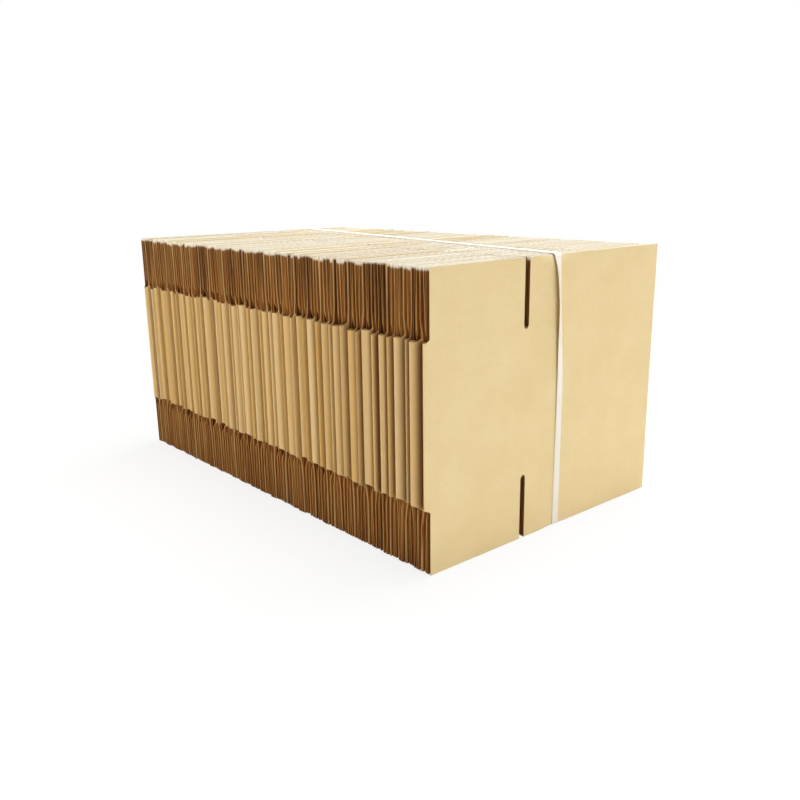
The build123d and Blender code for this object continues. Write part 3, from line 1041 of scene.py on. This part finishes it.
# camera, mirror and clear rays see white; other rays meet the light
def seenDirectly(tree):
    path = addNode(tree, "ShaderNodeLightPath")
    seen = path.outputs["Is Camera Ray"]
    for ray in ("Is Glossy Ray", "Is Transmission Ray"):
        seen = addNode(tree, "ShaderNodeMath", {0: seen, 1: path.outputs[ray]}, operation="MAXIMUM")
    return seen


# Matt white paper sweep: it keeps the bundle's soft shadow and runs out to plain white.
def floorMaterial():
    made, tree, shader = startMaterial("paleStudioFloor", studio["floorRoughness"], studio["floorIor"])
    shader.inputs["Base Color"].default_value = linear(studio["floorColour"])
    place = addNode(tree, "ShaderNodeTexCoord").outputs["Object"]
    distance = addNode(tree, "ShaderNodeVectorMath", {0: place}, operation="LENGTH").outputs["Value"]
    near, far = studio["shadowReach"]
    whiter = addNode(tree, "ShaderNodeMapRange", {"Value": distance},
                     {"From Min": near, "From Max": far, "To Min": 1 - studio["shadowShare"]},
                     interpolation_type="SMOOTHSTEP")
    part = addNode(tree, "ShaderNodeMath", {0: seenDirectly(tree), 1: whiter}, operation="MULTIPLY")
    white = addNode(tree, "ShaderNodeEmission", None, {"Color": (1, 1, 1, 1), "Strength": 1.0})
    mix = addNode(tree, "ShaderNodeMixShader", {0: part, 1: shader, 2: white})
    tree.links.new(mix.outputs[0], tree.nodes["Material Output"].inputs["Surface"])
    return made


floorShape = bmesh.new()
bmesh.ops.create_grid(floorShape, x_segments=8, y_segments=8, size=studio["floorSize"] / 2)
floorMesh = bpy.data.meshes.new("studioFloor")
floorShape.to_mesh(floorMesh)
floorShape.free()
floorMesh.materials.append(floorMaterial())
studioFloor = bpy.data.objects.new("studioFloor", floorMesh)
scene.collection.objects.link(studioFloor)

world = bpy.data.worlds.new("studioWorld")
world.use_nodes = True
scene.world = world
sky = world.node_tree
background = sky.nodes["Background"]
background.inputs["Color"].default_value = (1, 1, 1, 1)
skyStrength = addNode(sky, "ShaderNodeMapRange", {"Value": seenDirectly(sky)},
                      {"To Min": studio["worldStrength"], "To Max": 1.0})
sky.links.new(skyStrength.outputs[0], background.inputs["Strength"])

aim = Vector(studio["aim"])
for name in ("overhead", "front", "leftBack"):
    x, y, z, size, watts = studio[name]
    lamp = bpy.data.lights.new(name, "AREA")
    lamp.shape, lamp.size, lamp.energy = "SQUARE", size, watts
    holder = bpy.data.objects.new(name, lamp)
    holder.location = (x, y, z)
    holder.rotation_euler = (aim - holder.location).to_track_quat("-Z", "Y").to_euler()
    scene.collection.objects.link(holder)

photoCamera = {
    "lens": 37.492,            # mm
    "sensor": 36.0,            # mm
    "clip": (0.02, 100.0),     # m
    "place": (-0.43110, -0.53400, 0.23675),          # m
    "yaw": 40.537,             # degrees, to the right of +Y
    "pitch": 14.798,           # degrees down
    "roll": -0.782,            # degrees
}
yaw, pitch, roll = (math.radians(photoCamera[k]) for k in ("yaw", "pitch", "roll"))
forward = Vector((math.sin(yaw) * math.cos(pitch), math.cos(yaw) * math.cos(pitch), -math.sin(pitch)))
level = Vector((math.cos(yaw), -math.sin(yaw), 0.0))
upward = level.cross(forward)
camRight = level * math.cos(roll) + upward * math.sin(roll)
camUp = upward * math.cos(roll) - level * math.sin(roll)
turned = Matrix((camRight, camUp, -forward)).transposed().to_4x4()
camera = bpy.data.cameras.new("photoCamera")
camera.lens, camera.sensor_width = photoCamera["lens"], photoCamera["sensor"]
camera.clip_start, camera.clip_end = photoCamera["clip"]
cameraHolder = bpy.data.objects.new("photoCamera", camera)
cameraHolder.matrix_world = Matrix.Translation(photoCamera["place"]) @ turned
scene.collection.objects.link(cameraHolder)
scene.camera = cameraHolder
print("studio and camera set")
